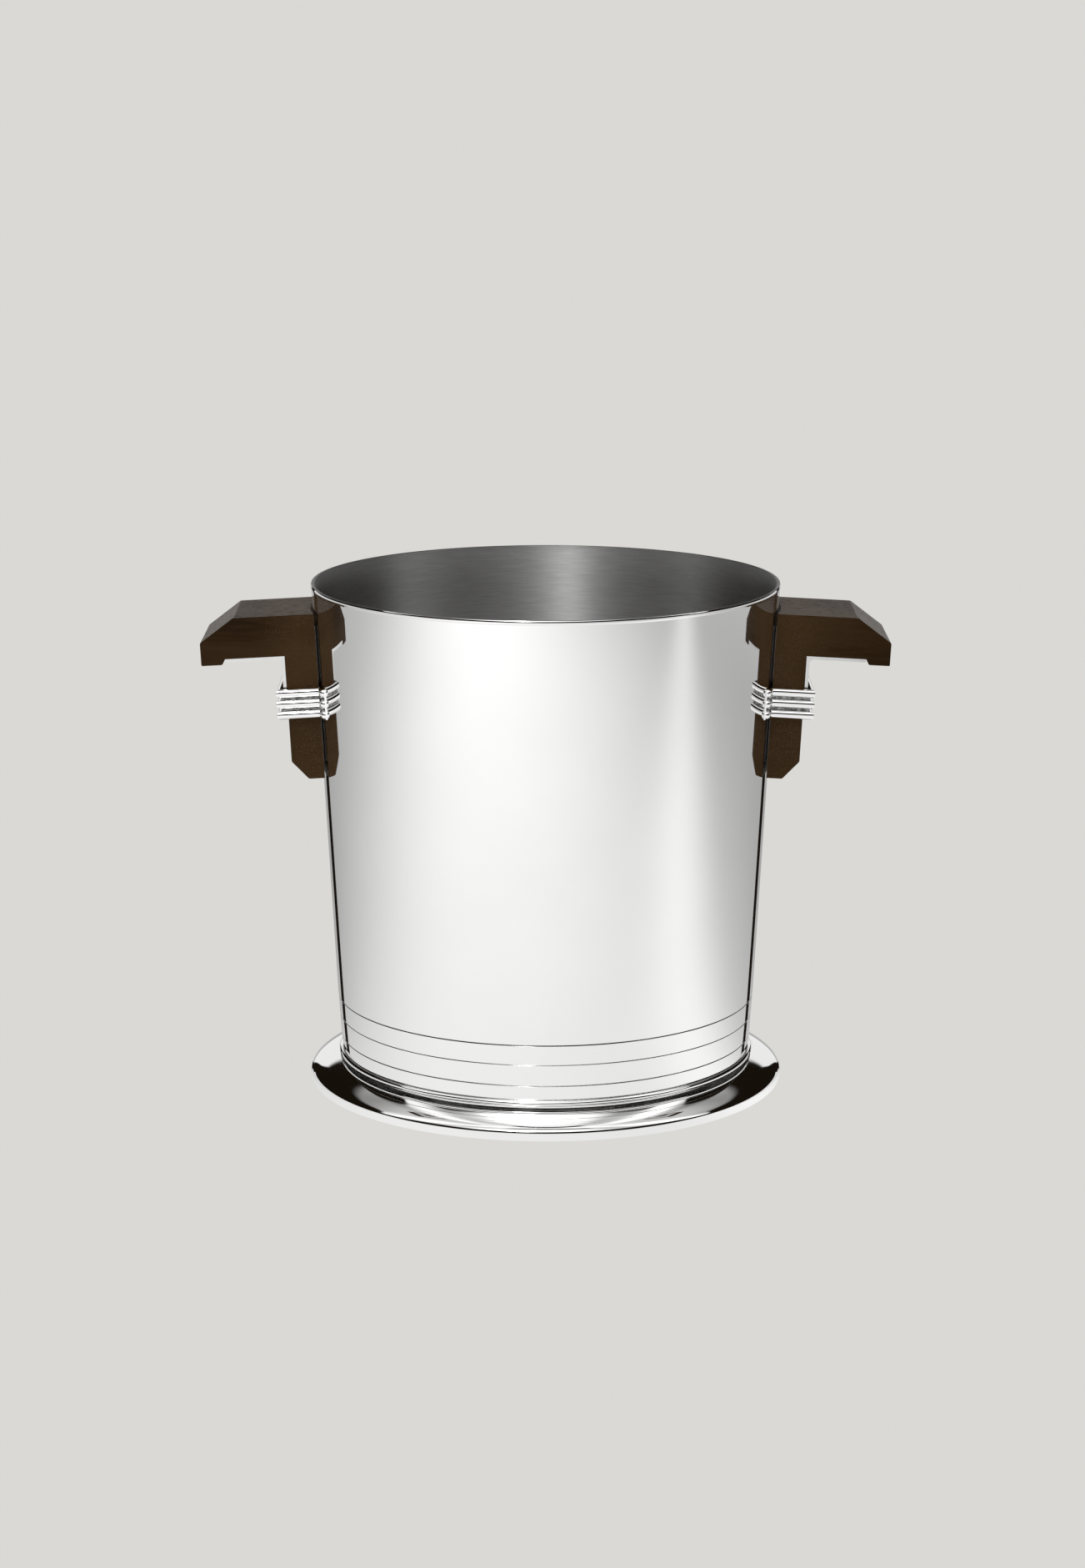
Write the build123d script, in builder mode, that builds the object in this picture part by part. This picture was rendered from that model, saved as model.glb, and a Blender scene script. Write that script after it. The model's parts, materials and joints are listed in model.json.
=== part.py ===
from build123d import *
import math
import os

os.makedirs("parts", exist_ok=True)

# ---------------------------------------------------------------------------
# Champagne bucket: a tapered, mirror-polished drum on a domed flange foot, with
# two L-shaped dark wood handles held in ribbed metal collars on the drum wall.
# Frame: +Z up, origin at the centre of the foot's base plane, handles along X.
# ---------------------------------------------------------------------------

# Drum
height = 217.7
wall_top_radius = 100.15
taper = 3.08
wall_thickness_top = 1.2
wall_thickness_base = 2.1
drum_bottom = 9.6

# Grooves that divide the bottom of the drum into bands
groove_heights = [13.4, 19.45, 28.65, 37.2]
groove_depth = 0.7
band_step = 0.12

# Rim wire
rim_height = 2.0
rim_proud = 0.28
rim_edge = 0.3

# Foot
foot_radius = 102.5
foot_edge_height = 2.9
foot_edge_round = 2.2
foot_edge_turn = 40
foot_sheet = 1.2
foot_inner_radius = 83.5
seat_width = 0.5
flat_width = 0.8
flat_drop = 0.1
dome_top_reach = 4.6
dome_top_drop = 0.9
dome_edge_reach = 2.9
foot_edge_break = 0.3
underside_rise = 0.5
underside_reach = 7.0
underside_drop = 2.8
foot_wire_width = 2.6
foot_wire_height = 2.8

# Ring between the lowest band and the foot
base_ring_radius = 1.25

# Handles: u runs outward across the wall, w runs up along the wall
handle_top = 207.1
handle_half_depth = 23.0
stand_off = 1.0
arm_length = 47.3
arm_thickness = 17.4
arm_chamfer_run = 14.6
arm_chamfer_drop = 10.0
lip_length = 8.9
lip_drop = 2.4
notch_run = 1.3
stem_outer = 11.9
stem_length = 70.9
stem_chamfer_run = 6.9
stem_chamfer_drop = 7.8
wood_edge = 0.35

# Strap under the arm and down the outside of the stem
strap_thickness = 1.4
strap_half_width = 22.2
strap_fillet = 2.1

# Collar
collar_centre = 37.8
collar_height = 13.0
band_thickness = 1.3
tab_thickness = 0.4
rib_radius = 1.8
rib_pitch = 4.7
tab_reach = 4.4

# Screws through the strap into the arm
screw_positions = [19.0, 30.5]
screw_head_radius = 2.5
screw_shank_radius = 1.25
screw_length = 11.0

# Pad between the stem and the drum wall
pad_half_width = 17.0
pad_top = 6.0
pad_bottom = 65.0

slope = math.tan(math.radians(taper))
lean_sin = math.sin(math.radians(taper))
lean_cos = math.cos(math.radians(taper))


def wall_radius(z):
    """Outer radius of the plain drum wall at height z."""
    return wall_top_radius - (height - z) * slope


def inner_radius(z):
    """Inner radius of the drum; the wall thickens towards the foot."""
    share = (height - z) / (height - drum_bottom)
    thickness = wall_thickness_top + (wall_thickness_base - wall_thickness_top) * share
    return wall_radius(z) - thickness


# --- Drum wall: tapered shell with stepped, round-edged bands at the bottom ---
shell_top = height - rim_height
with BuildPart() as body_shell:
    with BuildSketch(Plane.XZ):
        with BuildLine():
            last = (wall_radius(drum_bottom) - band_step * len(groove_heights), drum_bottom)
            first = last
            for level, groove_z in enumerate(groove_heights):
                steps_below = len(groove_heights) - level
                lower = wall_radius(groove_z) - band_step * steps_below
                upper = wall_radius(groove_z) - band_step * (steps_below - 1)
                root = upper - groove_depth
                arc_centre = (root, groove_z + groove_depth)
                bulge = groove_depth * math.sqrt(0.5)
                Line(last, (lower, groove_z))
                Line((lower, groove_z), (root, groove_z))
                ThreePointArc(
                    (root, groove_z),
                    (arc_centre[0] + bulge, arc_centre[1] - bulge),
                    (upper, groove_z + groove_depth),
                )
                last = (upper, groove_z + groove_depth)
            Line(last, (wall_radius(shell_top), shell_top))
            Line((wall_radius(shell_top), shell_top), (inner_radius(shell_top), shell_top))
            Line((inner_radius(shell_top), shell_top), (inner_radius(drum_bottom), drum_bottom))
            Line((inner_radius(drum_bottom), drum_bottom), first)
        make_face()
    revolve(axis=Axis.Z)

# --- Bottom plate: disc closing the drum, its edge chamfered ---
plate_thickness = 1.6
plate_radius = inner_radius(drum_bottom)
with BuildPart() as bottom_plate:
    with BuildSketch(Plane.XY.offset(drum_bottom)):
        Circle(plate_radius)
    extrude(amount=plate_thickness)
    chamfer(bottom_plate.edges().sort_by(Axis.Z)[-1], 0.5)

# --- Rim wire: flat-topped ring with a softly bulging outer side, closing the wall ---
rim_base_outer = wall_radius(shell_top)
rim_base_inner = inner_radius(shell_top)
rim_crown = rim_base_outer + rim_proud
rim_corner = rim_edge * (1 - math.sqrt(0.5))
with BuildPart() as rim_wire:
    with BuildSketch(Plane.XZ):
        with BuildLine():
            Line((rim_base_inner, shell_top), (rim_base_outer, shell_top))
            ThreePointArc(
                (rim_base_outer, shell_top),
                (rim_crown, shell_top + rim_height / 2),
                (rim_base_outer, height - rim_edge),
            )
            ThreePointArc(
                (rim_base_outer, height - rim_edge),
                (rim_base_outer - rim_corner, height - rim_corner),
                (rim_base_outer - rim_edge, height),
            )
            Line((rim_base_outer - rim_edge, height), (rim_base_inner + rim_edge, height))
            ThreePointArc(
                (rim_base_inner + rim_edge, height),
                (rim_base_inner + rim_corner, height - rim_corner),
                (rim_base_inner, height - rim_edge),
            )
            Line((rim_base_inner, height - rim_edge), (rim_base_inner, shell_top))
        make_face()
    revolve(axis=Axis.Z)

# --- Base ring: round wire seated on the drum wall just above the foot ---
ring_z = drum_bottom + 2.5
ring_steps = band_step * len(groove_heights)
ring_low = ring_z - 2 * base_ring_radius
ring_high = ring_z + 2 * base_ring_radius
with BuildPart() as base_ring:
    with BuildSketch(Plane.XZ):
        with Locations((wall_radius(ring_z) - ring_steps + 0.35, ring_z)):
            Circle(base_ring_radius)
        with BuildLine():
            Polyline(
                (wall_radius(ring_low) - ring_steps, ring_low),
                (wall_radius(ring_high) - ring_steps, ring_high),
                (wall_radius(ring_high) - 6.0, ring_high),
                (wall_radius(ring_high) - 6.0, ring_low),
                close=True,
            )
        make_face(mode=Mode.SUBTRACT)
    revolve(axis=Axis.Z)

# --- Foot: hollow domed flange turned down into a short upright edge ---
dome_start = wall_radius(drum_bottom) - band_step * len(groove_heights) + seat_width
round_centre = foot_radius - foot_edge_round
dome_end = round_centre + foot_edge_round * math.cos(math.radians(foot_edge_turn))
dome_end_z = foot_edge_height + foot_edge_round * math.sin(math.radians(foot_edge_turn))
inner_edge = foot_radius - foot_sheet
with BuildPart() as foot:
    with BuildSketch(Plane.XZ):
        with BuildLine():
            Line((foot_inner_radius, drum_bottom), (dome_start, drum_bottom))
            Line((dome_start, drum_bottom), (dome_start + flat_width, drum_bottom - flat_drop))
            Bezier(
                (dome_start + flat_width, drum_bottom - flat_drop),
                (dome_start + flat_width + dome_top_reach, drum_bottom - dome_top_drop),
                (
                    dome_end - dome_edge_reach * math.sin(math.radians(foot_edge_turn)),
                    dome_end_z + dome_edge_reach * math.cos(math.radians(foot_edge_turn)),
                ),
                (dome_end, dome_end_z),
            )
            ThreePointArc(
                (dome_end, dome_end_z),
                (
                    round_centre + foot_edge_round * math.cos(math.radians(foot_edge_turn / 2)),
                    foot_edge_height + foot_edge_round * math.sin(math.radians(foot_edge_turn / 2)),
                ),
                (foot_radius, foot_edge_height),
            )
            Line((foot_radius, foot_edge_height), (foot_radius, foot_edge_break))
            Line((foot_radius, foot_edge_break), (foot_radius - foot_edge_break, 0))
            Line((foot_radius - foot_edge_break, 0), (inner_edge, 0))
            Line((inner_edge, 0), (inner_edge, foot_edge_height + underside_rise))
            Line((inner_edge, foot_edge_height + underside_rise), (dome_start + underside_reach, drum_bottom - underside_drop))
            Line((dome_start + underside_reach, drum_bottom - underside_drop), (dome_start, drum_bottom - foot_sheet))
            Line((dome_start, drum_bottom - foot_sheet), (foot_inner_radius, drum_bottom - foot_sheet))
            Line((foot_inner_radius, drum_bottom - foot_sheet), (foot_inner_radius, drum_bottom))
        make_face()
    revolve(axis=Axis.Z)

# --- Foot wire: stiffening ring soldered inside the upright edge, carries the bucket ---
wire_outer = foot_radius - foot_sheet
with BuildPart() as foot_wire:
    with BuildSketch(Plane.XZ):
        with Locations((wire_outer - foot_wire_width / 2, foot_wire_height / 2)):
            Rectangle(foot_wire_width, foot_wire_height)
    revolve(axis=Axis.Z)
    chamfer(foot_wire.edges().filter_by(GeomType.CIRCLE).sort_by(SortBy.RADIUS)[0:2], 0.5)

# ---------------------------------------------------------------------------
# Handle assemblies
# ---------------------------------------------------------------------------


def wall_point(drop):
    """Point on the drum wall, below the handle's top by this distance along the wall."""
    x = wall_radius(handle_top) - drop * lean_sin
    z = handle_top - drop * lean_cos
    return (x, 0, z)


# Plane of the L-shaped outline: x outward across the wall, y up along it
outline_plane = Plane(origin=wall_point(0), x_dir=(lean_cos, 0, -lean_sin), z_dir=(0, -1, 0))
# Plane square to the stem at the middle of the collar: x outward, y across the handle
collar_plane = Plane(
    origin=wall_point(collar_centre),
    x_dir=(lean_cos, 0, -lean_sin),
    z_dir=(lean_sin, 0, lean_cos),
)


def cone_cutter(gap):
    """Solid cone that follows the drum wall with this gap, for hollowing inner faces."""
    low = 110.0
    high = 216.0
    cone = Cone(
        bottom_radius=wall_radius(low) + gap,
        top_radius=wall_radius(high) + gap,
        height=high - low,
        align=(Align.CENTER, Align.CENTER, Align.MIN),
    )
    return Pos(0, 0, low) * cone


wall_cone = cone_cutter(0.0)
wood_cone = cone_cutter(stand_off)

# --- Handle: one block of wood, arm above and stem below, hollowed to the drum ---
lip_bottom = arm_thickness + lip_drop
lip_inner = arm_length - lip_length
strap_end = lip_inner - notch_run
handle_outline = [
    (-4.5, 0),
    (arm_length - arm_chamfer_run, 0),
    (arm_length, -arm_chamfer_drop),
    (arm_length, -lip_bottom),
    (lip_inner, -lip_bottom),
    (strap_end, -arm_thickness),
    (stem_outer, -arm_thickness),
    (stem_outer, -stem_length + stem_chamfer_drop),
    (stem_outer - stem_chamfer_run, -stem_length),
    (-4.5, -stem_length),
]
hidden_corners = [handle_outline[0], handle_outline[5], handle_outline[6], handle_outline[9]]
hidden_points = [(outline_plane * Pos(u, w, 0)).position for u, w in hidden_corners]


def near_hidden_corner(edge):
    """True for the cross edges that must stay sharp: inside corners and the inner face."""
    if abs(edge.tangent_at(0.5).Y) < 0.9:
        return edge.center().X < wall_point(0)[0] - 4.2
    return any((edge.center() - point).length < 0.5 for point in hidden_points)


def screw_plane(u):
    """Plane on the underside of the strap, its normal pointing down out of the strap."""
    spot = (outline_plane * Pos(u, -arm_thickness - strap_thickness, 0)).position
    return Plane(origin=spot, x_dir=(lean_cos, 0, -lean_sin), z_dir=(-lean_sin, 0, -lean_cos))


with BuildPart() as right_handle:
    with BuildSketch(outline_plane):
        with BuildLine():
            Polyline(*handle_outline, close=True)
        make_face()
    extrude(amount=handle_half_depth, both=True)
    chamfer([edge for edge in right_handle.edges() if not near_hidden_corner(edge)], wood_edge)
    add(wood_cone, mode=Mode.SUBTRACT)
    with Locations(*[screw_plane(u) for u in screw_positions]):
        Cylinder(
            screw_shank_radius,
            strap_thickness + screw_length,
            align=(Align.CENTER, Align.CENTER, Align.MAX),
            mode=Mode.SUBTRACT,
        )

# --- Strap: L-shaped metal strip lining the inside corner of the handle ---
strap_face = stem_outer + strap_thickness
strap_under = arm_thickness + strap_thickness
strap_foot = collar_centre + collar_height / 2
with BuildPart() as right_strap:
    with BuildSketch(outline_plane):
        with BuildLine():
            Polyline(
                (stem_outer, -arm_thickness),
                (strap_end, -arm_thickness),
                (strap_end, -strap_under),
                (strap_face, -strap_under),
                (strap_face, -strap_foot),
                (stem_outer, -strap_foot),
                close=True,
            )
        make_face()
    extrude(amount=strap_half_width, both=True)
    inside_corner = (outline_plane * Pos(strap_face, -strap_under, 0)).position
    fillet(right_strap.edges().filter_by(Axis.Y).sort_by_distance(inside_corner)[0], strap_fillet)
    with Locations(*[screw_plane(u) for u in screw_positions]):
        Cone(
            bottom_radius=screw_shank_radius,
            top_radius=screw_head_radius,
            height=strap_thickness,
            align=(Align.CENTER, Align.CENTER, Align.MAX),
            mode=Mode.SUBTRACT,
        )

# --- Screws: slotted countersunk heads flush with the strap, shanks up into the arm ---
with BuildPart() as right_strap_screws:
    with Locations(*[screw_plane(u) for u in screw_positions]):
        Cone(
            bottom_radius=screw_shank_radius,
            top_radius=screw_head_radius,
            height=strap_thickness,
            align=(Align.CENTER, Align.CENTER, Align.MAX),
        )
        Cylinder(
            screw_shank_radius,
            strap_thickness + screw_length,
            align=(Align.CENTER, Align.CENTER, Align.MAX),
        )
        Box(6 * screw_head_radius, 0.7, 1.1, mode=Mode.SUBTRACT)

# --- Collar band: hat-shaped strip round the stem, its end tabs lying on the wall ---
collar_wall = wall_radius(wall_point(collar_centre)[2])
tab_angle = math.asin((handle_half_depth + 4.0) / collar_wall)
tab_radius = collar_wall + tab_thickness
side_face = handle_half_depth + band_thickness
outer_face = strap_face + band_thickness
bend_step = (side_face - tab_radius * math.sin(tab_angle)) / math.cos(tab_angle)


def tab_point(reach, sign):
    """Point on a tab's outer face, this far beyond the bend; sign picks the side."""
    step = bend_step + reach
    x = tab_radius * math.cos(tab_angle) - collar_wall - step * math.sin(tab_angle)
    y = tab_radius * math.sin(tab_angle) + step * math.cos(tab_angle)
    return (x, sign * y)


tab_end = tab_reach + rib_radius
with BuildPart() as right_collar_band:
    with BuildSketch(collar_plane):
        with BuildLine():
            Polyline(
                tab_point(tab_end, -1),
                tab_point(0, -1),
                (outer_face, -side_face),
                (outer_face, side_face),
                tab_point(0, 1),
                tab_point(tab_end, 1),
                (-7.0, tab_point(tab_end, 1)[1]),
                (-7.0, tab_point(tab_end, -1)[1]),
                close=True,
            )
        make_face()
    extrude(amount=collar_height / 2, both=True)
    with BuildSketch(collar_plane):
        with Locations((strap_face - 10.0, 0)):
            Rectangle(20.0, 2 * handle_half_depth)
    extrude(amount=collar_height, both=True, mode=Mode.SUBTRACT)
    add(wall_cone, mode=Mode.SUBTRACT)


def build_rib(level):
    """Half-round moulding that follows the band, mitred at its bends, with ball ends."""
    rib_plane = collar_plane.offset(level)
    start = tab_point(tab_reach, -1)
    end = tab_point(tab_reach, 1)
    outward = (math.cos(tab_angle), -math.sin(tab_angle))
    along = (math.sin(tab_angle), math.cos(tab_angle))
    with BuildPart() as rib:
        with BuildLine(rib_plane):
            Polyline(
                start,
                tab_point(0, -1),
                (outer_face, -side_face),
                (outer_face, side_face),
                tab_point(0, 1),
                end,
            )
        start_plane = Plane(
            origin=rib_plane.from_local_coords(Vector(*start, 0)),
            x_dir=rib_plane.from_local_coords(Vector(*outward, 0)) - rib_plane.origin,
            z_dir=rib_plane.from_local_coords(Vector(*along, 0)) - rib_plane.origin,
        )
        with BuildSketch(start_plane):
            Circle(rib_radius)
            with Locations((-rib_radius, 0)):
                Rectangle(2 * rib_radius, 2 * rib_radius, mode=Mode.SUBTRACT)
        sweep(transition=Transition.RIGHT)
        for sign, spot in ((-1, start), (1, end)):
            normal = Vector(math.cos(tab_angle), sign * math.sin(tab_angle), 0)
            cap_plane = Plane(
                origin=rib_plane.from_local_coords(Vector(*spot, 0)),
                z_dir=rib_plane.from_local_coords(normal) - rib_plane.origin,
            )
            with Locations(cap_plane):
                Sphere(
                    rib_radius,
                    arc_size1=0,
                    arc_size2=90,
                    align=(Align.CENTER, Align.CENTER, Align.MIN),
                )
    return rib


right_collar_rib_top = build_rib(rib_pitch)
right_collar_rib_middle = build_rib(0)
right_collar_rib_bottom = build_rib(-rib_pitch)

# --- Back plate: thin curved pad that holds the stem off the drum wall ---
with BuildPart() as right_back_plate:
    with BuildSketch(outline_plane):
        with BuildLine():
            Polyline((-4.5, -pad_top), (3.0, -pad_top), (3.0, -pad_bottom), (-4.5, -pad_bottom), close=True)
        make_face()
    extrude(amount=pad_half_width, both=True)
    add(wood_cone, mode=Mode.INTERSECT)
    add(wall_cone, mode=Mode.SUBTRACT)

# ---------------------------------------------------------------------------
# Export: the middle pieces once, the handle pieces on both sides
# ---------------------------------------------------------------------------
middle_pieces = {
    "body_shell": body_shell,
    "bottom_plate": bottom_plate,
    "rim_wire": rim_wire,
    "base_ring": base_ring,
    "foot": foot,
    "foot_wire": foot_wire,
}
handle_pieces = {
    "handle": right_handle,
    "strap": right_strap,
    "strap_screws": right_strap_screws,
    "collar_band": right_collar_band,
    "collar_rib_top": right_collar_rib_top,
    "collar_rib_middle": right_collar_rib_middle,
    "collar_rib_bottom": right_collar_rib_bottom,
    "back_plate": right_back_plate,
}
for label, piece in middle_pieces.items():
    piece.part.label = label
    export_step(piece.part, f"parts/{label}.step")
for label, piece in handle_pieces.items():
    piece.part.label = f"right_{label}"
    export_step(piece.part, f"parts/right_{label}.step")
    left_piece = mirror(piece.part, about=Plane.YZ)
    left_piece.label = f"left_{label}"
    export_step(left_piece, f"parts/left_{label}.step")
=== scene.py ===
import json
import math

import bmesh
import bpy
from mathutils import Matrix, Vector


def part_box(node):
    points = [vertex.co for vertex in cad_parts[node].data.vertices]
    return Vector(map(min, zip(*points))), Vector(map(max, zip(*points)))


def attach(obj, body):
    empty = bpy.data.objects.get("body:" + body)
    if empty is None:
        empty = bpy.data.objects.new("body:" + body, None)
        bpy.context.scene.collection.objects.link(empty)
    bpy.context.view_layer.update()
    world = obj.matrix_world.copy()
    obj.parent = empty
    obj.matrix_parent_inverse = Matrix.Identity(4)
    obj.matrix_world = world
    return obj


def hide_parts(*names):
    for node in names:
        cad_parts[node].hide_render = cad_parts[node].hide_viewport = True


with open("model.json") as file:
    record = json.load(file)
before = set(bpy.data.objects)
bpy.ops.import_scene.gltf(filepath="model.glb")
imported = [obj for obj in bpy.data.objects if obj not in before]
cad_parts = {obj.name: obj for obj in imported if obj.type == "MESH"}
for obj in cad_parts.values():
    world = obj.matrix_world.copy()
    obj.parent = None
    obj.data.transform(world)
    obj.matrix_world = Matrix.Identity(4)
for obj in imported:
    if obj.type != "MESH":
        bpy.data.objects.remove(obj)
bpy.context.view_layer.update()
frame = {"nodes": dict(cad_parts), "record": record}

MM = 0.001
scene = bpy.context.scene
scene.view_settings.view_transform = "Standard"
scene.view_settings.look = "None"

# ---------------------------------------------------------------- driving sizes, in millimetres
TAPER = math.radians(3.08)
SLOPE = math.tan(TAPER)
SEGMENTS = 384

# drum and rim
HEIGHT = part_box("rim_wire")[1].z / MM
SHELL_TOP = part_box("body_shell")[1].z / MM
SHELL_TOP_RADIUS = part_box("body_shell")[1].x / MM
DRUM_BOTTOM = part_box("body_shell")[0].z / MM
WALL_TOP = 1.2
WALL_BASE = 2.1
RIM_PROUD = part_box("rim_wire")[1].x / MM - SHELL_TOP_RADIUS
RIM_EDGE = 0.14

# grooves, and how far round each quarter-round is matte and dark with patina and painted shade, in degrees
GROOVES = (13.4, 19.45, 28.65, 37.2)
GROOVE_SHADE_TURNS = (-36, -28, -32, -14)
GROOVE_DEPTH = 0.7
BAND_STEP = 0.12
LEDGE_ROUND = 0.1

# ring above the foot
RING_RADIUS = 1.25
RING_HEIGHT = DRUM_BOTTOM + 2 * RING_RADIUS
RING_STAND_OFF = 0.35
# where the ring's dark part ends: painted shade on its underside, towards the foot
RING_SHADE_TURN = math.radians(-84)

# foot
FOOT_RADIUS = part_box("foot")[1].x / MM
FOOT_SHEET = 1.2
FOOT_LIP = 83.5
FOOT_ROUND = 2.2
FOOT_ROUND_TURN = math.radians(40)
FOOT_EDGE_TOP = 2.9
FOOT_EDGE_BREAK = 0.3
SEAT_WIDTH = 0.5
FLAT_WIDTH = 0.8
FLAT_DROP = 0.1
DOME_TOP_REACH = 4.6
DOME_TOP_DROP = 0.9
DOME_EDGE_REACH = 2.9
UNDERSIDE_RISE = 0.5
UNDERSIDE_REACH = 7.0
UNDERSIDE_DROP = 2.8

# handles and collars
HANDLE_TOP = 207.1
COLLAR_DROP = 37.8
RIB_RADIUS = 1.8
RIB_PITCH = 4.7
STEM_HALF_DEPTH = 23.0
BAND_THICKNESS = 1.3
TAB_THICKNESS = 0.4
TAB_MARGIN = 4.0
TAB_REACH = 4.4
STRAP_FACE = 13.3


def wall_radius(z):
    """Outer radius of the plain drum wall at this height."""
    return SHELL_TOP_RADIUS - (SHELL_TOP - z) * SLOPE


def inner_radius(z):
    """Inner radius of the drum; the wall thickens towards the foot."""
    share = (HEIGHT - z) / (HEIGHT - DRUM_BOTTOM)
    return wall_radius(z) - WALL_TOP - (WALL_BASE - WALL_TOP) * share


def srgb(r, g, b):
    """Linear colour from 0-255 display values."""
    def linear(c):
        c /= 255.0
        return c / 12.92 if c <= 0.04045 else ((c + 0.055) / 1.055) ** 2.4
    return (linear(r), linear(g), linear(b), 1.0)


# ---------------------------------------------------------------- camera
CAMERA_PLACE = (-0.00132, -1.600, 0.4797)
CAMERA_DOWN = 0.2159

cam_data = bpy.data.cameras.new("camera")
cam_data.sensor_fit = "VERTICAL"
cam_data.sensor_height = 36.0
cam_data.lens = 87.0
cam_data.clip_start = 0.05
cam_data.clip_end = 50.0
cam = bpy.data.objects.new("camera", cam_data)
scene.collection.objects.link(cam)
cam.location = CAMERA_PLACE
cam.rotation_euler = (math.pi / 2 - CAMERA_DOWN, 0.0, 0.0)
scene.camera = cam


# ---------------------------------------------------------------- node helpers
class Tree:
    """Small helper to write node trees briefly."""

    def __init__(self, tree):
        self.tree = tree

    def add(self, kind, **props):
        node = self.tree.nodes.new(kind)
        for key, value in props.items():
            setattr(node, key, value)
        return node

    def link(self, a, b):
        self.tree.links.new(a, b)

    def feed(self, socket, value):
        if isinstance(value, (int, float, tuple)):
            socket.default_value = value
        else:
            self.link(value, socket)

    def math(self, op, a, b=None, c=None):
        node = self.add("ShaderNodeMath", operation=op)
        for socket, value in zip(node.inputs, (a, b, c)):
            if value is not None:
                self.feed(socket, value)
        return node.outputs[0]

    def vector(self, x, y, z):
        node = self.add("ShaderNodeCombineXYZ")
        for socket, value in zip(node.inputs, (x, y, z)):
            self.feed(socket, value)
        return node.outputs[0]

    def split(self, vector):
        node = self.add("ShaderNodeSeparateXYZ")
        self.link(vector, node.inputs[0])
        return node.outputs

    def ramp(self, value, stops):
        node = self.add("ShaderNodeValToRGB")
        bar = node.color_ramp
        while len(bar.elements) < len(stops):
            bar.elements.new(0.5)
        for element, (position, colour) in zip(bar.elements, stops):
            element.position = position
            element.color = colour
        self.link(value, node.inputs[0])
        return node.outputs[0]

    def step(self, value, low, high):
        """0 below low, 1 above high, smooth between; low above high turns it round."""
        node = self.add("ShaderNodeMapRange", interpolation_type="SMOOTHSTEP")
        turned = low > high
        items = (value, min(low, high), max(low, high), float(turned), float(not turned))
        for socket, item in zip(node.inputs, items):
            self.feed(socket, item)
        return node.outputs[0]

    def bell(self, value, centre, width):
        """Bell curve of the value round this centre."""
        off = self.math("DIVIDE", self.math("SUBTRACT", value, centre), width)
        return self.math("EXPONENT", self.math("MULTIPLY", self.math("MULTIPLY", off, off), -1.0))

    def length(self, x, y):
        """Length of the vector (x, y)."""
        return self.math("SQRT", self.math("ADD", self.math("MULTIPLY", x, x), self.math("MULTIPLY", y, y)))

    def bearing(self, x, y):
        """Degrees from straight in front of the bucket, positive towards +X."""
        turn = self.math("ARCTAN2", x, self.math("MULTIPLY", y, -1.0))
        return self.math("MULTIPLY", turn, 180 / math.pi)

    def noise(self, vector, scale=1.0, detail=2.0, rough=0.5, distortion=0.0):
        node = self.add("ShaderNodeTexNoise")
        items = (("Vector", vector), ("Scale", scale), ("Detail", detail), ("Roughness", rough),
                 ("Distortion", distortion))
        for name, value in items:
            self.feed(node.inputs[name], value)
        return node.outputs["Fac"]

    def scaled(self, vector, scale):
        node = self.add("ShaderNodeMapping")
        node.inputs["Scale"].default_value = scale
        self.link(vector, node.inputs["Vector"])
        return node.outputs[0]

    def mix(self, share, a, b):
        node = self.add("ShaderNodeMix", data_type="RGBA")
        for socket, value in zip((node.inputs[0], node.inputs[6], node.inputs[7]), (share, a, b)):
            self.feed(socket, value)
        return node.outputs[2]

    def bump(self, height, strength, distance):
        node = self.add("ShaderNodeBump")
        node.inputs["Strength"].default_value = strength
        node.inputs["Distance"].default_value = distance
        self.link(height, node.inputs["Height"])
        return node.outputs[0]

    def round_axis(self):
        """Object position, its height, angle round Z and radius, in metres and radians."""
        position = self.add("ShaderNodeTexCoord").outputs["Object"]
        x, y, z = self.split(position)
        return position, z, self.math("ARCTAN2", y, x), self.length(x, y)


def new_material(name, metallic=1.0):
    mat = bpy.data.materials.new(name)
    mat.use_nodes = True
    mat.node_tree.nodes.clear()
    t = Tree(mat.node_tree)
    out = t.add("ShaderNodeOutputMaterial")
    bsdf = t.add("ShaderNodeBsdfPrincipled")
    t.link(bsdf.outputs[0], out.inputs[0])
    bsdf.inputs["Metallic"].default_value = metallic
    return mat, t, bsdf


# ---------------------------------------------------------------- materials
def polished_silver(name, rough=0.03, scratch=0.05):
    """Polished silver: mirror base with faint wiping clouds and hairline scratches."""
    mat, t, bsdf = new_material(name)
    position = t.add("ShaderNodeTexCoord").outputs["Object"]
    cloud = t.noise(position, 22.0, 3.0, 0.55)
    hair = t.noise(t.scaled(position, (900, 900, 60)), 1.0, 2.0, 0.6)
    tint = t.ramp(cloud, [(0.30, (0.925, 0.925, 0.922, 1)), (0.70, (0.95, 0.95, 0.947, 1))])
    t.link(tint, bsdf.inputs["Base Color"])
    clouded = t.math("MULTIPLY_ADD", cloud, 0.03, rough - 0.015)
    t.link(t.math("MULTIPLY_ADD", hair, 0.02, clouded), bsdf.inputs["Roughness"])
    t.link(t.bump(t.noise(position, 260.0, 2.0, 0.5), scratch, 0.02 * MM), bsdf.inputs["Normal"])
    return mat


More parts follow.
